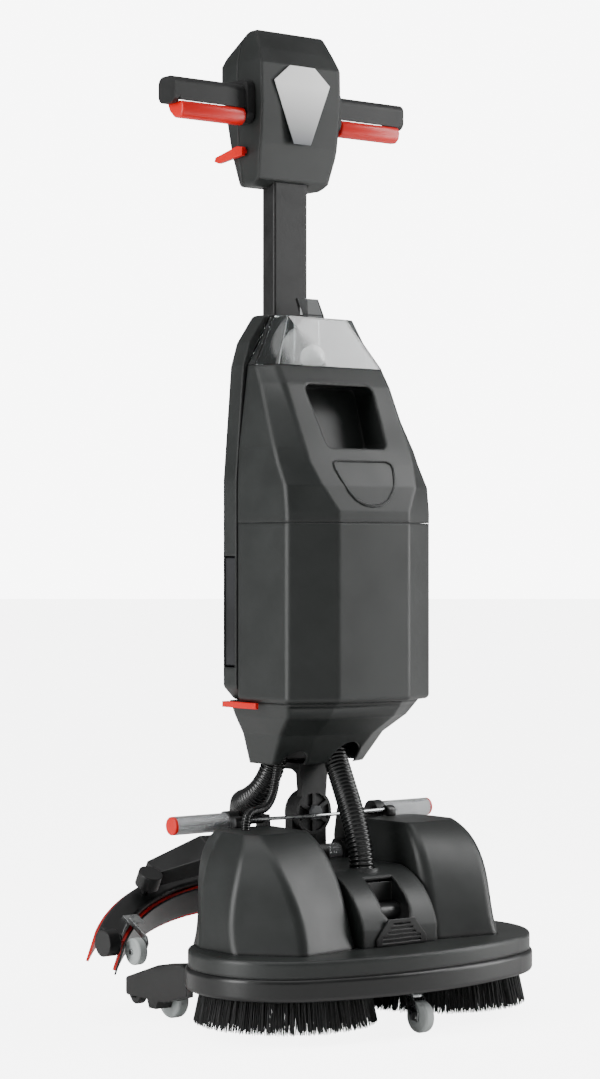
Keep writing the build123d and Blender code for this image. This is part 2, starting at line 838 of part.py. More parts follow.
# Guard rollers in front of the squeegee's ends, each on a bent strap
guard_across = 212
guard_along = -22
guard_radius = 16
guard_width = 13
guard_pin = 3
strap_across = guard_across - guard_width / 2 - 1 - 2.5
with BuildPart() as guard_straps:
    for _, side in sides:
        with BuildSketch(beside_squeegee(side * (strap_across + 1.25) - 1.25)):
            with BuildLine():
                Polyline(
                    (guard_along - 6, -6), (guard_along + 6, -6), (guard_along + 8, 14),
                    (guard_along + 40, 14),
                    (guard_along + 40, 20), (guard_along, 20), (guard_along - 6, 14), close=True,
                )
            make_face()
        extrude(amount=2.5)
        with BuildSketch(beside_squeegee(side * (strap_across + 2.5), guard_along)):
            Circle(guard_pin)
        extrude(amount=side * (guard_width + 3))
        with BuildSketch(along_squeegee(beam_top, side * (strap_across - 8), guard_along + 44)):
            Rectangle(22, 16)
        extrude(amount=3)
guard_straps.part.label = "guard_straps"
export_step(guard_straps.part, "parts/guard_straps.step")

for name, side in sides:
    with BuildPart() as guard_roller:
        hub_point = beside_squeegee(side * guard_across, guard_along).origin
        with BuildSketch(wheel_plane(side * guard_across, hub_point.Y - brush_y, hub_point.Z)):
            add(wheel_profile(guard_radius, guard_width, guard_pin + running, 3))
        revolve(axis=Axis((0, hub_point.Y, hub_point.Z), (1, 0, 0)))
    guard_roller.part.label = f"guard_roller_{name}"
    export_step(guard_roller.part, f"parts/guard_roller_{name}.step")

# Neck: the body's lower bracket, with a spoked boss in front of the yoke and a shelf under the mast
shelf_top = skirt_low - 1
mast_back = casing_back + gap
with BuildPart() as neck:
    with BuildSketch(facing(pivot_front + leaf, 0, pivot_height)):
        Circle(pivot_radius)
        with BuildLine():
            Polyline(
                (-18, 10), (-22, shelf_top - pivot_height), (22, shelf_top - pivot_height), (18, 10),
                close=True,
            )
        make_face()
    extrude(amount=leaf)
    with BuildSketch(facing(pivot_front, 0, pivot_height)):
        Circle(pivot_radius - 4)
        Circle(10, mode=Mode.SUBTRACT)
        with PolarLocations(0, 6):
            Rectangle(5, 2 * pivot_radius, mode=Mode.SUBTRACT)
    extrude(amount=-3, mode=Mode.SUBTRACT)
    with BuildSketch(level(shelf_top - shelf_thick, 0, (pivot_front + mast_back + mast_depth) / 2)):
        Rectangle(44, mast_back + mast_depth - pivot_front)
    extrude(amount=shelf_thick)
    with BuildSketch(beside(-3)):
        with BuildLine():
            Polyline(
                (pivot_front + leaf, pivot_height + pivot_radius + 6),
                (pivot_front + leaf, shelf_top - shelf_thick),
                (mast_back, shelf_top - shelf_thick),
                close=True,
            )
        make_face()
    extrude(amount=6)
    with BuildSketch(facing(pivot_front, 0, pivot_height)):
        Circle(5 + running)
    extrude(amount=-leaf, mode=Mode.SUBTRACT)
neck.part.label = "neck"
export_step(neck.part, "parts/neck.step")

with BuildPart() as mast:
    with BuildSketch(level(shelf_top, 0, mast_back + mast_depth / 2)):
        RectangleRounded(mast_width, mast_depth, 3)
        RectangleRounded(mast_width - 2 * mast_wall, mast_depth - 2 * mast_wall, 1, mode=Mode.SUBTRACT)
    extrude(amount=mast_top - shelf_top)
mast.part.label = "mast"
export_step(mast.part, "parts/mast.step")

# Skirt: gathers the body's underside in round the neck, open below for the hoses.
# Each level has the half outline, from the front to the back.
skirt_levels = (
    (skirt_low, ((34, 64), (70, 82), (70, 134))),
    (336, ((44, 34), (80, 56), (80, 134))),
    (358, ((50, 2), (92, 26), (92, 134))),
    (body_low - gap, ((50, -14), (100, 12), (100, 134))),
)
with BuildPart() as skirt_hollow:
    for height, half in skirt_levels:
        shift = -1 if height == skirt_low else (-skirt_wall if height > 360 else 0)
        with BuildSketch(level(height + shift)):
            add(rounded(both_sides(half), 6, skirt_wall))
    loft(ruled=True)
with BuildPart() as skirt:
    for height, half in skirt_levels:
        with BuildSketch(level(height)):
            add(rounded(both_sides(half), 8))
    loft(ruled=True)
    add(skirt_hollow.part, mode=Mode.SUBTRACT)
    # Scoops in front for the main hose and the conduit
    with BuildSketch(facing(0)):
        with Locations((20, skirt_low + 4)):
            Circle(hose_radius + 7)
        with Locations((-50, skirt_low + 4)):
            Circle(13)
    extrude(amount=-108, mode=Mode.SUBTRACT)
skirt.part.label = "skirt"
export_step(skirt.part, "parts/skirt.step")

# Clean water tank: the lower half of the body, with a bay behind for the suction motor and pump
tank_half = ((flat_half, body_front), (body_half, body_corner), (body_half, casing_front - gap))
with BuildPart() as clean_tank:
    with BuildSketch(level(body_low)):
        add(rounded(both_sides(tank_half), 9))
    extrude(amount=tank_split - gap - body_low)
    fillet(clean_tank.faces().sort_by(Axis.Z)[0].edges(), radius=6)
    with BuildSketch(level(body_low + tank_wall)):
        add(rounded(both_sides((*tank_half[:2], (body_half, bay_front + tank_wall))), 7, tank_wall))
    extrude(amount=tank_split - body_low, mode=Mode.SUBTRACT)
    with BuildSketch(level(body_low + tank_wall + 3, 0, (bay_front + tank_wall + casing_front) / 2)):
        Rectangle(2 * (body_half - tank_wall - 3), casing_front - bay_front - tank_wall)
    extrude(amount=tank_split - body_low - 2 * tank_wall - 9, mode=Mode.SUBTRACT)
clean_tank.part.label = "clean_tank"
export_step(clean_tank.part, "parts/clean_tank.step")

bay_middle = (bay_front + casing_front) / 2
with BuildPart() as suction_motor:
    with BuildSketch(beside(-60, bay_middle, 545)):
        Circle(24)
    extrude(amount=76)
    with BuildSketch(beside(16, bay_middle, 545)):
        Circle(26)
    extrude(amount=44)
    fillet(suction_motor.edges().group_by(Axis.X)[0] + suction_motor.edges().group_by(Axis.X)[-1], radius=4)
suction_motor.part.label = "suction_motor"
export_step(suction_motor.part, "parts/suction_motor.step")

pump_low = body_low + tank_wall + 3
with BuildPart() as water_pump:
    with BuildSketch(level(pump_low, -50, bay_middle)):
        Rectangle(60, 40)
    extrude(amount=26)
    with BuildSketch(level(pump_low + 26, -50, bay_middle)):
        Circle(16)
    extrude(amount=40)
    with BuildSketch(beside(-20, bay_middle, pump_low + 13)):
        Circle(6)
    extrude(amount=22)
water_pump.part.label = "water_pump"
export_step(water_pump.part, "parts/water_pump.step")

# Recovery tank: the body's upper half. Its broad front leans back above the lower edge.
side_back = casing_front - gap
waste_levels = (
    (tank_split, ((flat_half, body_front), (body_half, body_corner), (body_half, side_back))),
    (lean_low, ((flat_half, body_front), (body_half, body_corner), (body_half, side_back))),
    (632, ((72, -14), (110, 8), (110, side_back))),
    (659, ((80, 0), (109, 24), (109, side_back))),
    (677, ((81, 8), (108, 32), (108, side_back))),
    (pocket_top, ((82, 46), (98, 72), (98, side_back))),
    (lid_low - gap, ((81, 60), (95, 86), (95, side_back))),
)


def pocket(spare):
    """The handle pocket's space: narrower below, with a back that leans as the tank's front does."""
    low = pocket_low - spare
    top = pocket_top + spare
    with BuildPart() as space:
        with BuildSketch(facing(-40)) as outline:
            with BuildLine():
                Polyline(
                    (-46 - spare, low), (46 + spare, low), (53 + spare, top), (-53 - spare, top), close=True
                )
            make_face()
            fillet(outline.vertices(), radius=9 + spare)
        extrude(amount=-160)
        with BuildSketch(beside(-60)):
            with BuildLine():
                Polyline(
                    (-40, low), (8 + pocket_depth + spare, low), (40 + pocket_depth + spare, top),
                    (-40, top),
                    close=True,
                )
            make_face()
        extrude(amount=120, mode=Mode.INTERSECT)
    return space.part


with BuildPart() as waste_hollow:
    for height, half in waste_levels:
        floor = tank_wall if height == tank_split else 0
        roof = 1 if height == lid_low - gap else 0
        with BuildSketch(level(height + floor + roof)):
            add(rounded(both_sides(half), 5, tank_wall))
    loft(ruled=True)
with BuildPart() as waste_tank:
    for height, half in waste_levels:
        with BuildSketch(level(height)):
            add(rounded(both_sides(half), 8))
    loft(ruled=True)
    add(waste_hollow.part - pocket(tank_wall), mode=Mode.SUBTRACT)
    add(pocket(0), mode=Mode.SUBTRACT)
waste_tank.part.label = "waste_tank"
export_step(waste_tank.part, "parts/waste_tank.step")

# Clear lid over the recovery tank, hinged behind, with a cage on its inside for the float ball
lid_wall = 2.5
lid_levels = (
    (lid_low, ((81, 60), (95, 86), (95, side_back))),
    (lid_top, ((46, 86), (61, 92), (61, side_back))),
)
ball_radius = 15
ball_across = -8
ball_back = 86.3
ball_height = 789
cradle_top = ball_height - ball_radius - 0.3
with BuildPart() as lid_hollow:
    for height, half in lid_levels:
        shift = -lid_wall if height == lid_top else -0.5
        with BuildSketch(level(height + shift)):
            add(rounded(both_sides(half), 2, lid_wall))
    loft(ruled=True)
with BuildPart() as lid:
    for height, half in lid_levels:
        with BuildSketch(level(height)):
            add(rounded(both_sides(half), 5))
    loft(ruled=True)
    add(lid_hollow.part, mode=Mode.SUBTRACT)
    # Cradle under the float ball, on two posts
    with BuildSketch(level(cradle_top - 2, ball_across, ball_back + 3)):
        Rectangle(2 * ball_radius + 12, 22)
    extrude(amount=2)
    with BuildSketch(level(cradle_top - 2, ball_across, ball_back + 10)):
        with Locations((-ball_radius - 4, 0), (ball_radius + 4, 0)):
            Circle(1.5)
    extrude(amount=lid_top - cradle_top)
    # Latch tab behind
    with BuildSketch(beside(-13)):
        with BuildLine():
            Polyline(
                (97, lid_top - 1), (103, lid_top - 1), (103.5, lid_top + 4), (112, lid_top + 24),
                (109, lid_top + 25), (97, lid_top + 3), close=True,
            )
        make_face()
    extrude(amount=33)
lid.part.label = "lid"
export_step(lid.part, "parts/lid.step")

with BuildPart() as float_ball:
    with BuildSketch(beside(ball_across, ball_back, ball_height)):
        Circle(ball_radius)
        Rectangle(ball_radius, 2 * ball_radius, align=(Align.MAX, Align.CENTER), mode=Mode.SUBTRACT)
    revolve(axis=Axis((ball_across, brush_y + ball_back, ball_height), (0, 0, 1)))
float_ball.part.label = "float_ball"
export_step(float_ball.part, "parts/float_ball.step")

# Rear casing: a shallow shell behind both tanks, with the battery's slot in its left side
casing_half = (
    (92, body_low), (108, body_low + 16), (108, 640), (97, lid_low), (88, 806), (64, lid_top + 2),
)
slot_low = battery_low - free
slot_top = battery_low + battery_tall + free
battery_front = casing_front + tank_wall + 0.5
with BuildPart() as rear_casing:
    for wall, mode in ((0, Mode.ADD), (tank_wall, Mode.SUBTRACT)):
        with BuildSketch(facing(casing_back - wall)):
            add(rounded(both_sides(casing_half), 8, wall))
        extrude(amount=casing_back - casing_front - 2 * wall, mode=mode)
        if mode is Mode.ADD:
            back_face = rear_casing.faces().sort_by(Axis.Y)[-1]
            fillet(back_face.edges(), radius=9)
    with BuildSketch(beside(-120)):
        with Locations(((casing_front + casing_back) / 2, (slot_low + slot_top) / 2)):
            Rectangle(casing_back - casing_front - 2 * tank_wall, slot_top - slot_low)
    extrude(amount=30, mode=Mode.SUBTRACT)
rear_casing.part.label = "rear_casing"
export_step(rear_casing.part, "parts/rear_casing.step")

with BuildPart() as battery_pack:
    with BuildSketch(level(battery_low, battery_long / 2 - battery_out, battery_front + battery_thick / 2)):
        Rectangle(battery_long, battery_thick)
    extrude(amount=battery_tall)
    fillet(battery_pack.edges(), radius=2)
battery_pack.part.label = "battery_pack"
export_step(battery_pack.part, "parts/battery_pack.step")

# Red catch along the tank's lower left edge, turning outwards about its rear end
catch_back = 128
catch_front = 62
with BuildPart() as battery_catch:
    with BuildSketch(level(body_low - 8)):
        with BuildLine():
            Polyline(
                (-112, catch_front), (-108, catch_front), (-103, catch_front + 12), (-103, catch_back),
                (-112, catch_back), close=True,
            )
        make_face()
    extrude(amount=7)
battery_catch.part.label = "battery_catch"
export_step(battery_catch.part, "parts/battery_catch.step")

# Head: a front and a rear shell over the mast's top, meeting in an upright joint line
head_front_outline = ((head_half - 8, head_low), (head_half - 2, 1040), (head_half, 1110), (head_half, 1150),
                      (head_half - 9, head_top))
head_side_outline = (
    (148, head_low), (132, head_low + 8), (121, 1050), (116, 1096), (117, 1146), (127, 1166),
    (141, head_top),
    (152, head_top), (190, 1160), (197, 1150), (197, 1128), (170, head_low),
)


def head_solid(inset):
    """The whole head, drawn inwards by an inset."""
    with BuildPart() as shape:
        with BuildSketch(beside(-head_half - 1)):
            add(rounded(head_side_outline, 3, inset))
        extrude(amount=2 * head_half + 2)
        with BuildSketch(facing(220)):
            add(rounded(both_sides(head_front_outline), 6, inset))
        extrude(amount=120, mode=Mode.INTERSECT)
    return shape.part


grip_slot = 0.4
head_outer = head_solid(0)
head_inner = head_solid(head_wall)
for name, first, last in (("head_front", 100, head_split), ("head_rear", head_split + gap, 210)):
    with BuildPart() as head_shell:
        with BuildSketch(level(head_low - 10)):
            with Locations((0, (first + last) / 2)):
                Rectangle(3 * head_half, last - first)
        extrude(amount=head_top - head_low + 20)
        add(head_outer, mode=Mode.INTERSECT)
        add(head_inner, mode=Mode.SUBTRACT)
        # Opening below for the mast and at the sides for the handlebar
        with BuildSketch(level(head_low - 10, 0, mast_back + mast_depth / 2)):
            Rectangle(mast_width + 2 * grip_slot, mast_depth + 2 * grip_slot)
        extrude(amount=30, mode=Mode.SUBTRACT)
        with BuildSketch(beside(-100, grip_back, grip_height)):
            Circle(bar_radius + grip_slot)
        extrude(amount=200, mode=Mode.SUBTRACT)
        with BuildSketch(beside(-100, lever_back, lever_height)):
            Circle(lever_shaft + running)
        extrude(amount=60, mode=Mode.SUBTRACT)
    head_shell.part.label = name
    export_step(head_shell.part, f"parts/{name}.step")

# Bare hexagonal plate on the head's front
plate_back = 115.6
plate_height = 1096
with BuildPart() as face_plate:
    with BuildSketch(facing(plate_back, 0, plate_height)):
        with BuildLine():
            Polyline(*both_sides(((13, -45), (43, 30), (19, 50))), close=True)
        make_face()
    extrude(amount=1.2)
face_plate.part.label = "face_plate"
export_step(face_plate.part, "parts/face_plate.step")

# Handlebar through the head, with a moulded grip and a red trigger on each side
grip_low = grip_height - grip_tall / 2
cap_thick = 8
cap_low = grip_low - 8
collar_out = grip_root + 7
trigger_back = grip_back + grip_depth / 2 - 6
trigger_height = grip_low - 5
trigger_pin = 2.2
with BuildPart() as handlebar:
    with BuildSketch(beside(-grip_end + cap_thick, grip_back, grip_height)):
        Circle(bar_radius)
        Circle(bar_radius - 1.5, mode=Mode.SUBTRACT)
    extrude(amount=2 * (grip_end - cap_thick))
    # Saddle that the bar rests on, fixed to the mast
    with BuildSketch(level(mast_top + gap, 0, mast_back + mast_depth / 2)):
        Rectangle(mast_width - 12, mast_depth - 4)
    extrude(amount=grip_height - bar_radius + 1 - mast_top - gap)
handlebar.part.label = "handlebar"
export_step(handlebar.part, "parts/handlebar.step")

with BuildPart() as grips:
    for _, side in sides:
        with BuildSketch(beside(side * collar_out, grip_back, grip_height)):
            RectangleRounded(grip_depth, grip_tall, 10)
        extrude(amount=side * (grip_end - cap_thick - collar_out))
        # Lip in front that hides the trigger's upper edge
        with BuildSketch(beside(side * collar_out, grip_back - grip_depth / 2 + 1.25, grip_low + 2)):
            Rectangle(2.5, 14)
        extrude(amount=side * (grip_end - cap_thick - collar_out))
        with BuildSketch(beside(side * (grip_end - cap_thick), grip_back, (cap_low + grip_height + 12) / 2)):
            RectangleRounded(grip_depth, grip_height + 12 - cap_low, 10)
        extrude(amount=side * cap_thick)
        with BuildSketch(beside(side * (grip_root - 4), grip_back, grip_height - 8)):
            RectangleRounded(grip_depth + 8, 52, 12)
        extrude(amount=side * (collar_out - grip_root + 4))
    with BuildSketch(beside(-grip_end + cap_thick, grip_back, grip_height)):
        Circle(bar_radius)
    extrude(amount=2 * (grip_end - cap_thick), mode=Mode.SUBTRACT)
    with BuildSketch(beside(-grip_end + cap_thick - 4, trigger_back, trigger_height)):
        Circle(trigger_pin + running)
    extrude(amount=2 * (grip_end - cap_thick) + 8, mode=Mode.SUBTRACT)
    add(head_outer, mode=Mode.SUBTRACT)
grips.part.label = "grips"
export_step(grips.part, "parts/grips.step")

trigger_front = grip_back - grip_depth / 2 + 4
for name, side in sides:
    with BuildPart() as trigger:
        with BuildSketch(beside(side * (collar_out + 1))):
            with BuildLine():
                Polyline(
                    (trigger_front, grip_low - 4.5), (trigger_back - 6, grip_low - 1),
                    (trigger_back + 1, grip_low - 2), (trigger_back + 3, trigger_height - 2),
                    (trigger_back - 4, grip_low - 15), (trigger_front + 4, grip_low - 18),
                    (trigger_front, grip_low - 14), close=True,
                )
            make_face()
        extrude(amount=side * (grip_end - cap_thick - collar_out - 2))
        with BuildSketch(beside(side * (collar_out - 3), trigger_back, trigger_height)):
            Circle(trigger_pin)
        extrude(amount=side * (grip_end - cap_thick - collar_out + 6))
    trigger.part.label = f"trigger_{name}"
    export_step(trigger.part, f"parts/trigger_{name}.step")

# Red lever on the head's left side
lever_in = head_half + 1.5
with BuildPart() as head_lever:
    with BuildSketch(beside(-lever_in - 5)):
        with BuildLine():
            Polyline(
                (lever_back - 5, lever_height + 4), (lever_back + 6, lever_height + 6),
                (lever_back + 50, lever_height - 3), (lever_back + 52, lever_height - 8),
                (lever_back + 44, lever_height - 11), (lever_back - 4, lever_height - 6), close=True,
            )
        make_face()
    extrude(amount=5)
    with BuildSketch(beside(-lever_in, lever_back, lever_height)):
        Circle(lever_shaft)
    extrude(amount=head_wall + 6)
head_lever.part.label = "head_lever"
export_step(head_lever.part, "parts/head_lever.step")


# Hoses and conduits: straight runs joined by arcs that are as large as the runs allow
def corner_radii(points):
    """The largest arc at each corner of a route that leaves a tenth of its shorter run straight."""
    places = [Vector(*p) for p in points]
    radii = []
    for before, corner, after in zip(places, places[1:], places[2:]):
        turn = radians((corner - before).get_angle(after - corner))
        shorter = min((corner - before).length, (after - corner).length)
        radii.append(0.45 * shorter / tan(turn / 2))
    return radii


def hose(name, points, radius):
    """A round hose along a route, whose places are given behind the brush line."""
    route = [(x, brush_y + y, z) for x, y, z in points]
    radii = corner_radii(route)
    with BuildPart() as tube:
        with BuildLine() as path:
            FilletPolyline(*route, radius=radii)
        with BuildSketch(Plane(origin=path.line @ 0, z_dir=path.line % 0)):
            Circle(radius)
        sweep(path=path.line)
    length = sum(edge.length for edge in path.edges())
    share = tube.part.volume / (pi * radius**2 * length)
    print(name, "radii", [round(r) for r in radii], "length", round(length), "volume", round(share, 4))
    return tube.part


seat = 0.3  # a hose's end stands this far off what it plugs on to
hose_roof = body_low - gap - skirt_wall - seat
port_mouth = beside_squeegee(0, port_along, port_up + seat).origin
port_lead = beside_squeegee(0, port_along, port_up + 38).origin
main_route = (
    (0, 0, saddle_top - 18), (0, 0, 190), (5, 20, 232), (13, 50, 272), (19, 76, 308), (22, 90, 341),
    (22, 90, hose_roof),
)
squeegee_route = (
    (0, port_mouth.Y - brush_y, port_mouth.Z), (0, port_lead.Y - brush_y, port_lead.Z), (-16, 216, 240),
    (-36, 188, 247), (-47, 160, 252), (-48, 134, 266), (-47, 116, 288), (-45, 107, 316), (-43, 103, 344),
    (-43, 103, hose_roof),
)
cover_route = (
    (-58, 84, hose_roof), (-58, 84, 345), (-57, 86, 316), (-60, 88, 288), (-67, 86, 264), (-82, 80, 250),
    (-101, 73, 248), (-116, 67, 248), (-126, 63, 241), (-126, 63, cover_top + seat),
)
deck_route = (
    (36, 117, hose_roof), (36, 117, 343), (37, 121, 310), (39, 127, 275), (41, 135, 240), (39, 138, 205),
    (36, 132, 172), (30, 117, 143), (30, saddle_back + seat, 143),
)
with BuildPart() as main_hose:
    add(hose("main_hose", main_route, hose_radius))
main_hose.part.label = "main_hose"
export_step(main_hose.part, "parts/main_hose.step")

with BuildPart() as squeegee_hose:
    add(hose("squeegee_hose", squeegee_route, hose_radius))
squeegee_hose.part.label = "squeegee_hose"
export_step(squeegee_hose.part, "parts/squeegee_hose.step")

with BuildPart() as conduits:
    add(hose("cover conduit", cover_route, conduit_radius))
    add(hose("deck conduit", deck_route, conduit_radius))
conduits.part.label = "conduits"
export_step(conduits.part, "parts/conduits.step")
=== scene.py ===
import bpy
import math
import random
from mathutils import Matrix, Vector


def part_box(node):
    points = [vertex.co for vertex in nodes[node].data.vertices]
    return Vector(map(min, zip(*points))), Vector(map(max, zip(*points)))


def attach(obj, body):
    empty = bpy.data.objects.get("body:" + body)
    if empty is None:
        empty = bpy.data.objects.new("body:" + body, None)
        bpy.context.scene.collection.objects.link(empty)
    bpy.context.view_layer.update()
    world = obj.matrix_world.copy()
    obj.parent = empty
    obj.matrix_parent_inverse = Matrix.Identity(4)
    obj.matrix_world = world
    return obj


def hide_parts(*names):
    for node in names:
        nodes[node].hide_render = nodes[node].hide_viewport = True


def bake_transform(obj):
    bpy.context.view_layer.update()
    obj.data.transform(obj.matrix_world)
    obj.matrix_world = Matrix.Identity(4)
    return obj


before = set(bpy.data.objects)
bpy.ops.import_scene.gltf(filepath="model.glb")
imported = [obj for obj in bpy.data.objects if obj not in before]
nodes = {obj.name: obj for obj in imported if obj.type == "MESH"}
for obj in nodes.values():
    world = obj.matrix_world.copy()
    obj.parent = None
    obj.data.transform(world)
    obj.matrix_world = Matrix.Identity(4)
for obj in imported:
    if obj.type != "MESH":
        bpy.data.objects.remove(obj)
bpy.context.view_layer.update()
print("stage: frame loaded,", len(nodes), "nodes")

mm = 0.001


def middleOf(node):
    low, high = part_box(node)
    return (low + high) / 2


brushY = middleOf("brush_block_left").y  # the line through the two brush centres
brushX = middleOf("brush_block_right").x


# Row frame point from millimetres, back counted from the brush line.
def place(across, back, height):
    return Vector((across * mm, brushY + back * mm, height * mm))


# Camera: a long lens, a little over half a metre up, at the machine's front left
camera = {"across": -2021.8, "back": -2439.7, "height": 557.5, "azimuth": -38.31, "pitch": 0.21,
          "lens": 89.17, "sensor": 36, "clipEnd": 30}
bpy.ops.object.select_all(action="DESELECT")
bpy.ops.object.camera_add(
    location=place(camera["across"], camera["back"], camera["height"]),
    rotation=(math.radians(90 + camera["pitch"]), 0, math.radians(camera["azimuth"])),
)
view = bpy.context.object
view.name = "viewCamera"
view.data.lens = camera["lens"]
view.data.sensor_width = camera["sensor"]
view.data.clip_end = camera["clipEnd"]
bpy.context.scene.camera = view
print("stage: camera set")


# sRGB hex to the linear values that the shader takes.
def linear(hexColour):
    parts = [int(hexColour[i:i + 2], 16) / 255 for i in (1, 3, 5)]
    return [p / 12.92 if p <= 0.04045 else ((p + 0.055) / 1.055) ** 2.4 for p in parts] + [1]


# A node with its settings, and its inputs linked or set.
def addNode(tree, kind, inputs=None, **settings):
    node = tree.nodes.new(kind)
    for name, value in settings.items():
        setattr(node, name, value)
    for name, value in (inputs or {}).items():
        if isinstance(value, bpy.types.NodeSocket):
            tree.links.new(value, node.inputs[name])
        else:
            node.inputs[name].default_value = value
    return node


def newMaterial(name, metallic=0, roughness=0.5, ior=1.5):
    material = bpy.data.materials.new(name)
    material.use_nodes = True
    tree = material.node_tree
    shader = tree.nodes["Principled BSDF"]
    shader.inputs["Metallic"].default_value = metallic
    shader.inputs["Roughness"].default_value = roughness
    shader.inputs["IOR"].default_value = ior
    where = addNode(tree, "ShaderNodeTexCoord").outputs["Object"]
    return material, tree, shader, where


# Noise whose features are that many millimetres across.
def noiseAt(tree, where, millimetres, detail=2):
    inputs = {"Vector": where, "Scale": 1 / (millimetres * mm), "Detail": detail}
    return addNode(tree, "ShaderNodeTexNoise", inputs).outputs["Fac"]


# Colour that wanders between two near tones.
def twoTone(tree, shader, factor, darkHex, lightHex, low=0.35, high=0.65):
    ramp = addNode(tree, "ShaderNodeValToRGB", {"Fac": factor})
    ramp.color_ramp.elements[0].position = low
    ramp.color_ramp.elements[0].color = linear(darkHex)
    ramp.color_ramp.elements[1].position = high
    ramp.color_ramp.elements[1].color = linear(lightHex)
    tree.links.new(ramp.outputs["Color"], shader.inputs["Base Color"])


def roughFrom(tree, shader, factor, low, high):
    spread = addNode(tree, "ShaderNodeMapRange", {"Value": factor, "From Min": 0.3, "From Max": 0.7,
                                                  "To Min": low, "To Max": high})
    tree.links.new(spread.outputs["Result"], shader.inputs["Roughness"])


# Surface relief over edges that are rounded off by a moulding or bending radius.
def bumpFrom(tree, shader, height, millimetres, strength, edgeRadius=0.8):
    edge = addNode(tree, "ShaderNodeBevel", {"Radius": edgeRadius * mm}, samples=4).outputs["Normal"]
    bump = addNode(tree, "ShaderNodeBump", {"Height": height, "Distance": millimetres * mm,
                                            "Strength": strength, "Normal": edge})
    tree.links.new(bump.outputs["Normal"], shader.inputs["Normal"])


# Injection or rotation moulded plastic: spark-eroded grain under a satin face.
def mouldedPlastic(name, darkHex, lightHex, low, high, grain, depth, strength=0.5, edge=0.8):
    material, tree, shader, where = newMaterial(name, ior=1.5)
    broad = noiseAt(tree, where, 60, 3)
    fine = noiseAt(tree, where, grain, 2)
    twoTone(tree, shader, broad, darkHex, lightHex)
    roughFrom(tree, shader, broad, low, high)
    bumpFrom(tree, shader, fine, depth, strength, edge)
    return material


# Polyester powder coat on steel: a faint orange peel, 2 mm from bump to bump.
def powderCoat(name, darkHex, lightHex):
    material, tree, shader, where = newMaterial(name)
    peel = noiseAt(tree, where, 2, 1)
    twoTone(tree, shader, noiseAt(tree, where, 40), darkHex, lightHex)
    roughFrom(tree, shader, noiseAt(tree, where, 25), 0.42, 0.55)
    bumpFrom(tree, shader, peel, 0.05, 0.5)
    return material


# Chromed steel tube with a diamond knurl, which breaks the reflection into sparkles.
def knurledChrome(name, axisY, axisZ, radius, pitch):
    material, tree, shader, where = newMaterial(name, metallic=1, roughness=0.2)
    shader.inputs["Base Color"].default_value = linear("#d6d8da")
    parts = addNode(tree, "ShaderNodeSeparateXYZ", {"Vector": where})
    y = addNode(tree, "ShaderNodeMath", {0: parts.outputs["Y"], 1: axisY}, operation="SUBTRACT").outputs[0]
    z = addNode(tree, "ShaderNodeMath", {0: parts.outputs["Z"], 1: axisZ}, operation="SUBTRACT").outputs[0]
    turn = addNode(tree, "ShaderNodeMath", {0: y, 1: z}, operation="ARCTAN2").outputs[0]
    teeth = round(2 * math.pi * radius / pitch)
    around = addNode(tree, "ShaderNodeMath", {0: turn, 1: float(teeth)}, operation="MULTIPLY").outputs[0]
    along = addNode(tree, "ShaderNodeMath", {0: parts.outputs["X"], 1: 2 * math.pi / (pitch * mm)},
                    operation="MULTIPLY").outputs[0]
    waves = []
    for mix in ("ADD", "SUBTRACT"):
        both = addNode(tree, "ShaderNodeMath", {0: along, 1: around}, operation=mix).outputs[0]
        waves.append(addNode(tree, "ShaderNodeMath", {0: both}, operation="SINE").outputs[0])
    knurl = addNode(tree, "ShaderNodeMath", {0: waves[0], 1: waves[1]}, operation="MULTIPLY").outputs[0]
    bumpFrom(tree, shader, knurl, 0.35, 0.8)
    return material


# Bright zinc plate on pressed steel: a soft, slightly streaked metal gleam.
def platedSteel(name):
    material, tree, shader, where = newMaterial(name, metallic=1, roughness=0.3)
    streaks = noiseAt(tree, where, 6, 3)
    twoTone(tree, shader, streaks, "#a9acad", "#c4c6c6")
    roughFrom(tree, shader, streaks, 0.24, 0.36)
    bumpFrom(tree, shader, streaks, 0.02, 0.3)
    return material


# Clear moulded polycarbonate, slightly smoky where it is thick.
def clearPolycarbonate(name):
    material, tree, shader, where = newMaterial(name, ior=1.45)
    shader.inputs["Base Color"].default_value = linear("#f2f5f5")
    shader.inputs["Transmission Weight"].default_value = 1
    roughFrom(tree, shader, noiseAt(tree, where, 30, 2), 0.01, 0.05)
    return material


# Silver film behind clear lacquer, with a fine sparkle; its colour is painted brighter above and greyer
# below, a painted reflection of the light from above.
def silverFilmPaintedSheen(name, low, high):
    material, tree, shader, where = newMaterial(name, metallic=0.55, roughness=0.38)
    parts = addNode(tree, "ShaderNodeSeparateXYZ", {"Vector": where})
    span = {"Value": parts.outputs["Z"], "From Min": low, "From Max": high, "To Min": 0.0, "To Max": 1.0}
    rise = addNode(tree, "ShaderNodeMapRange", span).outputs["Result"]
    # Painted reflection: the base colour runs from grey at the bottom to near white at the top.
    twoTone(tree, shader, rise, "#77797c", "#efefee", 0.0, 0.75)
    bumpFrom(tree, shader, noiseAt(tree, where, 1.2, 1), 0.03, 0.4)
    return material


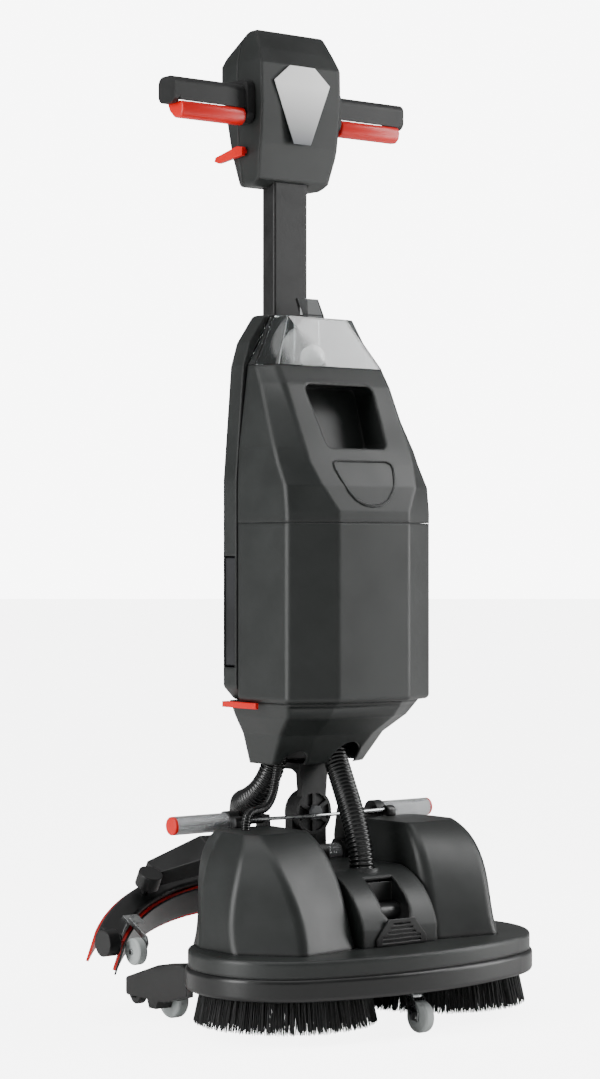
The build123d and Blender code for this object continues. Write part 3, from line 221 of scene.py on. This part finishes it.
finishes = {
    # rotation moulded polyethylene in charcoal, satin with a fine pebble grain
    "charcoalPolyethylene": mouldedPlastic("charcoalPolyethylene", "#1c1f1e", "#212423", 0.38, 0.48, 1.6,
                                           0.05, edge=5),
    # black polypropylene trim, a little glossier
    "blackPolypropylene": mouldedPlastic("blackPolypropylene", "#0e0f0f", "#131414", 0.3, 0.4, 1.4, 0.05,
                                         edge=2),
    # soft black elastomer over the grips
    "softGripElastomer": mouldedPlastic("softGripElastomer", "#131414", "#191a1a", 0.45, 0.55, 1.2, 0.06),
    "blackPowderCoat": powderCoat("blackPowderCoat", "#0b0c0c", "#101111"),
    "zincPlatedSteel": platedSteel("zincPlatedSteel"),
    "greyCastAluminium": powderCoat("greyCastAluminium", "#4b4d4f", "#5b5d5f"),
    # saturated red ABS, semi-gloss
    "redAbs": mouldedPlastic("redAbs", "#d50c06", "#e01009", 0.28, 0.36, 2.0, 0.03),
    # cast red polyurethane for the blades
    "redPolyurethane": mouldedPlastic("redPolyurethane", "#c80d07", "#d8120b", 0.38, 0.5, 2.5, 0.05),
    # light grey thermoplastic rubber tyres
    "greyWheelRubber": mouldedPlastic("greyWheelRubber", "#a3a9a8", "#b9bebd", 0.48, 0.6, 1.5, 0.05),
    "clearPolycarbonate": clearPolycarbonate("clearPolycarbonate"),
    "whitePolypropylene": mouldedPlastic("whitePolypropylene", "#e9e9e6", "#f6f6f4", 0.2, 0.28, 3.0, 0.02),
    # extruded black PVC hose, glossy on its ribs
    "glossyHosePvc": mouldedPlastic("glossyHosePvc", "#0c0d0d", "#141515", 0.18, 0.28, 3.0, 0.03),
    # nylon filaments, black to dark grey
    "blackNylonFilament": mouldedPlastic("blackNylonFilament", "#141515", "#333535", 0.45, 0.65, 4.0, 0.02),
    "batteryAbs": mouldedPlastic("batteryAbs", "#1a1b1d", "#222326", 0.4, 0.5, 1.4, 0.05),
}
plateLow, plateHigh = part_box("face_plate")
finishes["silverFilmPaintedSheen"] = silverFilmPaintedSheen("silverFilmPaintedSheen", plateLow.z, plateHigh.z)
knurlDesign = {"radius": 11, "pitch": 2.4}
for name, node in (("knurledAxle", "axle_tube"), ("knurledPedal", "pedal_tubes")):
    centre = middleOf(node)
    finishes[name] = knurledChrome(name, centre.y, centre.z, knurlDesign["radius"],
                                   knurlDesign["pitch"])

finishOf = {
    "charcoalPolyethylene": "deck_pan cover_left cover_right saddle skirt clean_tank waste_tank rear_casing "
                            "head_front head_rear",
    "blackPolypropylene": "bumper vent_grille saddle_barrel brush_block_left brush_block_right "
                          "squeegee_knobs tip_roller_left tip_roller_right squeegee_carrier squeegee_beam "
                          "rear_bracket_left rear_bracket_right",
    "softGripElastomer": "grips",
    "blackPowderCoat": "mast neck yoke axle_posts pedal_frame lift_arm handlebar",
    "zincPlatedSteel": "castor_fork guard_straps",
    "greyCastAluminium": "brush_motor_left brush_motor_right suction_motor water_pump pivot_bolt",
    "redAbs": "pedal_plugs battery_catch trigger_left trigger_right head_lever",
    "redPolyurethane": "front_blade rear_blade",
    "greyWheelRubber": "castor_wheel rear_wheel_left rear_wheel_right guard_roller_left guard_roller_right",
    "clearPolycarbonate": "lid",
    "whitePolypropylene": "float_ball",
    "glossyHosePvc": "main_hose squeegee_hose conduits",
    "blackNylonFilament": "bristles_left bristles_right",
    "batteryAbs": "battery_pack",
    "silverFilmPaintedSheen": "face_plate",
    "knurledAxle": "axle_tube",
    "knurledPedal": "pedal_tubes",
}
for finish, members in finishOf.items():
    for member in members.split():
        slots = nodes[member].material_slots
        if not slots:
            nodes[member].data.materials.append(None)
        for holder in nodes[member].material_slots:
            holder.material = finishes[finish]
print("stage: materials on", sum(len(members.split()) for members in finishOf.values()), "nodes")


# Shade the CAD nodes smooth up to that angle.
def smoothNodes(degrees):
    bpy.ops.object.select_all(action="DESELECT")
    for node in nodes.values():
        node.select_set(True)
    bpy.context.view_layer.objects.active = nodes["deck_pan"]
    bpy.ops.object.shade_smooth_by_angle(angle=math.radians(degrees))
    bpy.ops.object.select_all(action="DESELECT")


# Material, body and replaced nodes for a new piece; slotName is not used.
def finished(piece, body, slotName, material, *replaced):
    piece.data.materials.clear()
    piece.data.materials.append(material)
    if body:
        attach(piece, body)
    if replaced:
        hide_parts(*replaced)
    return piece


def meshPiece(name, points, faces, smooth=True):
    mesh = bpy.data.meshes.new(name)
    mesh.from_pydata(points, [], faces)
    mesh.update()
    if smooth:
        mesh.shade_smooth()
    piece = bpy.data.objects.new(name, mesh)
    bpy.context.scene.collection.objects.link(piece)
    return piece


# Hoses: ribbed tubes along smooth routes, cut where they pass from one moving body to the next
hoseDesign = {"radius": 15, "pitch": 5.2, "depth": 1.9, "sides": 32, "ringsPerRib": 6, "roundness": 0.6}
conduitDesign = {"radius": 5.5, "pitch": 3.0, "depth": 0.9, "sides": 20, "ringsPerRib": 6, "roundness": 0.6}


# Points along the NURBS curve that takes the route as its control points.
def smoothRoute(points):
    curve = bpy.data.curves.new("route", "CURVE")
    curve.dimensions = "3D"
    curve.resolution_u = 24
    spline = curve.splines.new("NURBS")
    spline.points.add(len(points) - 1)
    for holder, point in zip(spline.points, points):
        holder.co = (*point, 1)
    spline.order_u = 3
    spline.use_endpoint_u = True
    line = bpy.data.objects.new("route", curve)
    bpy.context.scene.collection.objects.link(line)
    bpy.context.view_layer.update()
    mesh = bpy.data.meshes.new_from_object(line)
    found = [vertex.co.copy() for vertex in mesh.vertices]
    bpy.data.objects.remove(line)
    bpy.data.meshes.remove(mesh)
    return found


# Places and directions at an even step along a dense line, with a frame that doesn't twist.
def stepsAlong(points, step):
    lengths = [0]
    for a, b in zip(points, points[1:]):
        lengths.append(lengths[-1] + (b - a).length)
    count = max(2, round(lengths[-1] / step))
    places = []
    at = 0
    for i in range(count + 1):
        want = lengths[-1] * i / count
        while at < len(points) - 2 and lengths[at + 1] < want:
            at += 1
        share = (want - lengths[at]) / max(lengths[at + 1] - lengths[at], 1e-9)
        places.append(points[at].lerp(points[at + 1], share))
    ways = [(places[min(i + 1, count)] - places[max(i - 1, 0)]).normalized() for i in range(count + 1)]
    normal = ways[0].orthogonal().normalized()
    frames = []
    for where, way in zip(places, ways):
        normal = (normal - way * normal.dot(way)).normalized()
        frames.append((where, normal, way.cross(normal)))
    return frames, lengths[-1]


# A corrugated tube over a share of the route, closed at both ends.
def ribbedTube(name, frames, design, length, start=0.0, end=1.0):
    sides = design["sides"]
    first = round(start * (len(frames) - 1))
    last = round(end * (len(frames) - 1))
    outline = []
    for i in range(first, last + 1):
        along = length * i / (len(frames) - 1)
        wave = 0.5 + 0.5 * math.cos(2 * math.pi * along / (design["pitch"] * mm))
        outline.append((i, (design["radius"] - design["depth"] * (1 - wave ** design["roundness"])) * mm))
    points = []
    for i, radius in outline:
        where, u, v = frames[i]
        for k in range(sides):
            a = 2 * math.pi * k / sides
            points.append(where + (u * math.cos(a) + v * math.sin(a)) * radius)
    faces = []
    for ring in range(len(outline) - 1):
        for k in range(sides):
            a = ring * sides + k
            b = ring * sides + (k + 1) % sides
            faces.append((a, b, b + sides, a + sides))
    faces.append(tuple(reversed(range(sides))))
    faces.append(tuple(range((len(outline) - 1) * sides, len(outline) * sides)))
    return meshPiece(name, points, faces)


# spans: (share where it ends, body before, body after).
def crossingHose(name, nodeName, route, design, spans, material):
    step = design["pitch"] * mm / design["ringsPerRib"]
    frames, length = stepsAlong(smoothRoute([place(*p) for p in route]), step)
    start = 0.0
    for index, (end, before, after) in enumerate(spans):
        piece = ribbedTube(f"{name}_{index + 1}", frames, design, length, start, end)
        finished(piece, None, "hose_plastic", material, nodeName)
        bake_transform(piece)
        start = end
    print("stage:", name, "length", round(length, 3))


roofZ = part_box("main_hose")[1].z / mm  # the hoses end under the skirt's roof
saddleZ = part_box("saddle")[1].z / mm
socketDepth = 18  # how far the main hose reaches down into the saddle
mainRoute = (
    (0, 0, saddleZ - socketDepth), (0, 0, 190), (5, 20, 232), (13, 50, 272), (19, 76, 308), (22, 90, 341),
    (22, 90, roofZ),
)
squeegeeRoute = (
    (0, 258.8, 180.2), (0, 241.1, 213.5), (-16, 216, 240), (-36, 188, 247), (-47, 160, 252), (-48, 134, 266),
    (-47, 116, 288), (-45, 107, 316), (-43, 103, 344), (-43, 103, roofZ),
)
coverRoute = (
    (-126, 63, 228.3), (-126, 63, 241), (-116, 67, 248), (-101, 73, 248), (-82, 80, 250), (-67, 86, 264),
    (-60, 88, 288), (-57, 86, 316), (-58, 84, 345), (-58, 84, roofZ),
)
deckRoute = (
    (30, 95.3, 143), (30, 117, 143), (36, 132, 172), (39, 138, 205), (41, 135, 240), (39, 127, 275),
    (37, 121, 310), (36, 117, 343), (36, 117, roofZ),
)
crossingHose("mainHose", "main_hose", mainRoute, hoseDesign,
             ((0.45, "deck", "yoke"), (1.0, "yoke", "chassis")), finishes["glossyHosePvc"])
crossingHose("squeegeeHose", "squeegee_hose", squeegeeRoute, hoseDesign,
             ((0.2, "squeegee", "lift"), (0.4, "lift", "deck"), (0.62, "deck", "yoke"),
              (1.0, "yoke", "chassis")), finishes["glossyHosePvc"])
crossingHose("coverConduit", "conduits", coverRoute, conduitDesign,
             ((0.5, "deck", "yoke"), (1.0, "yoke", "chassis")), finishes["glossyHosePvc"])
crossingHose("deckConduit", "conduits", deckRoute, conduitDesign,
             ((0.5, "deck", "yoke"), (1.0, "yoke", "chassis")), finishes["glossyHosePvc"])


# Brushes: rings of filament tufts, splayed outwards, on each block
brush = {"root": 53, "tip": 12.3, "rings": (96, 89, 81, 72, 62, 50, 36), "spacing": 6.5, "splay": 9.5,
         "filaments": 10, "filament": 0.9, "tuft": 2.6, "rim": 106.5, "tipSpread": 1.5, "tipTwist": 1.6,
         "tipStray": 1, "tipUneven": 2.5, "taper": 0.75}


def tuftedBrush(name, centreX, body, replaced, seed):
    chance = random.Random(seed)
    points, faces = [], []
    for ring in brush["rings"]:
        count = round(2 * math.pi * ring / brush["spacing"])
        for k in range(count):
            a = 2 * math.pi * (k + 0.5 * (ring % 2)) / count
            lean = brush["splay"] * ring / brush["rings"][0]
            for _ in range(brush["filaments"]):
                turn = chance.uniform(0, 2 * math.pi)
                off = brush["tuft"] * math.sqrt(chance.random())
                rootR = ring + off * math.cos(turn)
                rootT = off * math.sin(turn)
                spreadR = brush["tipSpread"] * off * math.cos(turn)
                tipR = min(ring + lean + spreadR + chance.uniform(-brush["tipStray"], brush["tipStray"]),
                           brush["rim"])
                tipT = brush["tipTwist"] * rootT + chance.uniform(-brush["tipStray"], brush["tipStray"])
                tipZ = brush["tip"] + chance.uniform(0, brush["tipUneven"])
                outward = Vector((math.cos(a), math.sin(a), 0))
                across = Vector((-math.sin(a), math.cos(a), 0))
                middle = Vector((centreX, brushY, 0))
                root = middle + (outward * rootR + across * rootT) * mm
                root = root + Vector((0, 0, brush["root"] * mm))
                tip = middle + (outward * tipR + across * tipT) * mm + Vector((0, 0, tipZ * mm))
                base = len(points)
                for end, width in ((root, 1.0), (tip, brush["taper"])):
                    for corner in range(3):
                        spin = 2 * math.pi * corner / 3 + turn
                        reach = brush["filament"] * width * 0.5 * mm
                        points.append(end + Vector((math.cos(spin), math.sin(spin), 0)) * reach)
                for corner in range(3):
                    after = (corner + 1) % 3
                    faces.append((base + corner, base + 3 + corner, base + 3 + after, base + after))
                faces.append((base, base + 1, base + 2))
                faces.append((base + 5, base + 4, base + 3))
    piece = meshPiece(name, points, faces, smooth=False)
    return finished(piece, body, "bristle", finishes["blackNylonFilament"], replaced)


tuftedBrush("tuftsLeft", -brushX, "brush_left", "bristles_left", 11)
tuftedBrush("tuftsRight", brushX, "brush_right", "bristles_right", 12)
print("stage: brushes tufted")

creaseAngle = 32
smoothNodes(creaseAngle)
print("stage: nodes smoothed")


# A bar with the given side outline (back, height), from one X to another, with rounded edges.
def barAcross(name, outline, left, right, rounding):
    count = len(outline)
    points = [place(x, back, height) for x in (left, right) for back, height in outline]
    faces = [tuple(range(count)), tuple(reversed(range(count, 2 * count)))]
    for k in range(count):
        after = (k + 1) % count
        faces.append((k, k + count, after + count, after))
    piece = meshPiece(name, points, faces)
    soften(piece, rounding)
    return piece


edgeDesign = {"segments": 3, "bevelAngle": 30, "smoothAngle": 40}


# Normals outwards, edges rounded by a bevel, and shading by angle.
def soften(piece, rounding):
    bpy.ops.object.select_all(action="DESELECT")
    bpy.context.view_layer.objects.active = piece
    piece.select_set(True)
    bpy.ops.object.mode_set(mode="EDIT")
    bpy.ops.mesh.select_all(action="SELECT")
    bpy.ops.mesh.normals_make_consistent(inside=False)
    bpy.ops.object.mode_set(mode="OBJECT")
    if rounding:
        bevel = piece.modifiers.new("rounding", "BEVEL")
        bevel.width = rounding * mm
        bevel.segments = edgeDesign["segments"]
        bevel.limit_method = "ANGLE"
        bevel.angle_limit = math.radians(edgeDesign["bevelAngle"])
        bpy.ops.object.modifier_apply(modifier=bevel.name)
    bpy.ops.object.shade_smooth_by_angle(angle=math.radians(edgeDesign["smoothAngle"]))
    bpy.ops.object.select_all(action="DESELECT")


# Triggers: deep red paddles under the grips, hinged behind
paddleDesign = {
    "outline": ((164, 1093), (150, 1092.5), (131, 1090), (128.5, 1083), (130, 1075), (136, 1070), (148, 1071),
                (158, 1080)),
    "endGap": 4,
    "rounding": 3,
}
for side in ("left", "right"):
    low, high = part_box(f"trigger_{side}")
    inner = min(abs(low.x), abs(high.x)) / mm + paddleDesign["endGap"]
    outer = max(abs(low.x), abs(high.x)) / mm - paddleDesign["endGap"]
    sign = -1 if side == "left" else 1
    paddle = barAcross(f"triggerPaddle{side.title()}", paddleDesign["outline"], sign * inner, sign * outer,
                       paddleDesign["rounding"])
    finished(paddle, f"trigger_{side}", "red_plastic", finishes["redAbs"], f"trigger_{side}")
print("stage: triggers made")

# Squeegee: a dark holder strip clamps the front blade, which shows only below it
squeegee = {"tilt": 28, "hubBack": 183, "hubHeight": 92, "radius": 320, "half": 240}
holderDesign = {"inner": 298.8, "outer": 301.2, "low": -33, "high": 3.5, "halfWidth": 232, "rounding": 0.6,
                "steps": 60}
lean = math.radians(squeegee["tilt"])


def onSqueegee(across, along, up):
    back = squeegee["hubBack"] + along * math.cos(lean) - up * math.sin(lean)
    return place(across, back, squeegee["hubHeight"] + along * math.sin(lean) + up * math.cos(lean))


def curvedStrip(name, design):
    sag = squeegee["radius"] - math.sqrt(squeegee["radius"] ** 2 - squeegee["half"] ** 2)
    spread = math.asin(design["halfWidth"] / design["outer"])
    steps = design["steps"]
    section = [(design[side], design[level]) for side, level in
               (("inner", "low"), ("outer", "low"), ("outer", "high"), ("inner", "high"))]
    points, faces = [], []
    for i in range(steps + 1):
        a = -spread + 2 * spread * i / steps
        for radius, up in section:
            across = radius * math.sin(a)
            points.append(onSqueegee(across, sag - squeegee["radius"] + radius * math.cos(a), up))
    for i in range(steps):
        for k in range(4):
            a, b = 4 * i + k, 4 * i + (k + 1) % 4
            faces.append((a, b, b + 4, a + 4))
    faces += [(0, 3, 2, 1), (4 * steps, 4 * steps + 1, 4 * steps + 2, 4 * steps + 3)]
    piece = meshPiece(name, points, faces)
    soften(piece, design["rounding"])
    return piece


holder = curvedStrip("frontBladeHolder", holderDesign)
finished(holder, "squeegee", "black_plastic", finishes["blackPolypropylene"])
print("stage: squeegee holder made")

# Bright plated wire across the covers' tops, held by a clamp on each
wireDesign = {"radius": 2.2, "pitch": 5, "depth": 0, "sides": 16, "step": 4, "roundness": 1}
clampDesign = {"outline": ((84, 227.8), (97, 227.8), (97, 238), (93, 241), (87, 240), (84, 236)),
               "near": 111, "far": 124, "rounding": 1.5}
wireRoute = ((-118, 92, 236), (-60, 86, 236), (-6, 80, 236), (6, 80, 236), (60, 86, 236), (118, 92, 236))
wireFrames, wireLength = stepsAlong(smoothRoute([place(*p) for p in wireRoute]), wireDesign["step"] * mm)
wire = ribbedTube("chromedWire", wireFrames, wireDesign, wireLength)
finished(wire, "deck", "chrome", finishes["zincPlatedSteel"])
for side, sign in (("Left", -1), ("Right", 1)):
    clamp = barAcross(f"wireClamp{side}", clampDesign["outline"], sign * clampDesign["near"],
                      sign * clampDesign["far"], clampDesign["rounding"])
    finished(clamp, "deck", "black_plastic", finishes["blackPolypropylene"])
print("stage: wire made")

# Groove liner: the walls and floor of the groove down the saddle's nose
groove = {"radius": 21.8, "centre": 142, "top": 166, "floor": -27, "wall": 1.2, "inset": 0.6, "step": 4,
          "steps": 7, "turns": 24, "nose": ((-70, 118), (-44, 160), (-4, 181))}


# Circle through the saddle's three nose points, (centre back, centre height, radius).
def noseArc():
    (x1, y1), (x2, y2), (x3, y3) = groove["nose"]
    d = 2 * (x1 * (y2 - y3) + x2 * (y3 - y1) + x3 * (y1 - y2))
    a, b, c = x1 ** 2 + y1 ** 2, x2 ** 2 + y2 ** 2, x3 ** 2 + y3 ** 2
    ux = (a * (y2 - y3) + b * (y3 - y1) + c * (y1 - y2)) / d
    uy = (a * (x3 - x2) + b * (x1 - x3) + c * (x2 - x1)) / d
    return ux, uy, math.hypot(x1 - ux, y1 - uy)


arcBack, arcHeight, arcRadius = noseArc()


def noseAt(height):
    noseFront, noseTop = groove["nose"][0]
    if height <= noseTop:
        return noseFront + groove["inset"]
    rise = min(abs(height - arcHeight), arcRadius)
    return min(arcBack - math.sqrt(arcRadius ** 2 - rise ** 2) + groove["inset"], groove["floor"] - 0.5)


wallLine = [(groove["radius"], groove["top"] - groove["step"] * i) for i in range(groove["steps"])]
wallLine += [(groove["radius"] * math.cos(a), groove["centre"] + groove["radius"] * math.sin(a))
             for a in [-math.pi * k / groove["turns"] for k in range(1, groove["turns"])]]
wallLine += [(-groove["radius"], groove["centre"] + groove["step"] * i) for i in range(groove["steps"])]
linerPoints = [place(x, noseAt(z), z) for x, z in wallLine]
linerPoints += [place(x, groove["floor"], z) for x, z in wallLine]
count = len(wallLine)
linerFaces = [(k, k + 1, k + 1 + count, k + count) for k in range(count - 1)]
linerFaces.append(tuple(range(count, 2 * count)))
liner = meshPiece("grooveLiner", linerPoints, linerFaces)
thick = liner.modifiers.new("wall", "SOLIDIFY")
thick.thickness = groove["wall"] * mm
thick.offset = 0
bpy.context.view_layer.objects.active = liner
bpy.ops.object.modifier_apply(modifier=thick.name)
soften(liner, 0)
finished(liner, "deck", "charcoal_plastic", finishes["blackPolypropylene"])
print("stage: groove lined")

# Shield-shaped panel moulded into the recovery tank's front: a rim round a flat field
tankFront = ((602, -23), (632, -14), (659, 0), (677, 8))


def tankFrontAt(height):
    for (z1, b1), (z2, b2) in zip(tankFront, tankFront[1:]):
        if height <= z2:
            return b1 + (b2 - b1) * (height - z1) / (z2 - z1)
    return tankFront[-1][1]


shieldHalf = [(0, 606), (14, 608), (26, 614), (36, 625), (43, 640), (47, 654), (46, 660), (40, 663)]
shieldLine = shieldHalf + [(-x, z) for x, z in reversed(shieldHalf[1:])]
rim = {"width": 4.5, "proud": 1.4, "sunk": -0.6, "middle": 640, "shoulder": 0.25}
rimPoints, rimFaces = [], []
middleZ = rim["middle"]
rimSection = ((0, rim["sunk"]), (rim["shoulder"], rim["proud"]), (1 - rim["shoulder"], rim["proud"]),
              (1, rim["sunk"]))
for x, z in shieldLine:
    for share, proud in rimSection:
        away = math.hypot(x, z - middleZ)
        scale = 1 - share * rim["width"] / away
        px, pz = x * scale, middleZ + (z - middleZ) * scale
        rimPoints.append(place(px, tankFrontAt(pz) - proud, pz))
total = len(shieldLine)
for i in range(total):
    for k in range(4):
        a, b = 4 * i + k, 4 * i + (k + 1) % 4
        c, d = 4 * ((i + 1) % total) + (k + 1) % 4, 4 * ((i + 1) % total) + k
        rimFaces.append((a, b, c, d))
shield = meshPiece("tankShieldRim", rimPoints, rimFaces)
soften(shield, 0)
finished(shield, "waste_tank", "charcoal_plastic", finishes["charcoalPolyethylene"])
print("stage: shield made")

# Floor and studio light
stageDesign = {"left": 70, "right": 45, "sun": 1.3, "softness": 0.9, "fill": 0.24, "backdrop": 8,
               "floorGlow": 5.6, "floorSize": 80, "floorRoughness": 0.8, "floorMottle": 400}
bpy.ops.object.select_all(action="DESELECT")
bpy.ops.mesh.primitive_plane_add(size=stageDesign["floorSize"], location=(0, 0, 0))
floor = bpy.context.object
floor.name = "studioFloor"
floorPaint, floorTree, floorShader, floorWhere = newMaterial("paleStudioFloor",
                                                               roughness=stageDesign["floorRoughness"])
floorMottle = noiseAt(floorTree, floorWhere, stageDesign["floorMottle"])
twoTone(floorTree, floorShader, floorMottle, "#f6f6f5", "#fbfbfa")
# The floor glows to the camera alone, as an overexposed white sweep does
glowRay = addNode(floorTree, "ShaderNodeLightPath")
glow = addNode(floorTree, "ShaderNodeMath", {0: glowRay.outputs["Is Camera Ray"],
                                             1: stageDesign["floorGlow"]}, operation="MULTIPLY")
floorShader.inputs["Emission Color"].default_value = linear("#ffffff")
floorTree.links.new(glow.outputs[0], floorShader.inputs["Emission Strength"])
floor.data.materials.append(floorPaint)


# A large soft box that faces a point on the machine.
def softLight(name, across, back, height, aim, width, tall, power):
    where = place(across, back, height)
    bpy.ops.object.light_add(type="AREA", location=where)
    lamp = bpy.context.object
    lamp.name = name
    lamp.data.shape = "RECTANGLE"
    lamp.data.size = width
    lamp.data.size_y = tall
    lamp.data.energy = power
    lamp.rotation_euler = (where - place(*aim)).to_track_quat("Z", "Y").to_euler()


softLight("leftBox", -2400, 300, 1100, (0, 0, 600), 0.8, 2.4, stageDesign["left"])
softLight("rightBox", 1700, -900, 1100, (0, 0, 600), 0.5, 2.4, stageDesign["right"])
bpy.ops.object.light_add(type="SUN", location=(0, 0, 3))
overhead = bpy.context.object
overhead.name = "overheadSun"
overhead.data.energy = stageDesign["sun"]
overhead.data.angle = stageDesign["softness"]

# The room fills the shadows softly, and the backdrop itself is white
world = bpy.data.worlds.new("studioWorld")
bpy.context.scene.world = world
world.use_nodes = True
worldTree = world.node_tree
fill = worldTree.nodes["Background"]
fill.inputs["Color"].default_value = linear("#ffffff")
fill.inputs["Strength"].default_value = stageDesign["fill"]
backdrop = addNode(worldTree, "ShaderNodeBackground", {"Color": linear("#ffffff"),
                                                       "Strength": stageDesign["backdrop"]})
ray = addNode(worldTree, "ShaderNodeLightPath")
either = addNode(worldTree, "ShaderNodeMixShader", {0: ray.outputs["Is Camera Ray"], 1: fill.outputs[0],
                                                    2: backdrop.outputs[0]})
worldTree.links.new(either.outputs[0], worldTree.nodes["World Output"].inputs["Surface"])
print("stage: lights set")
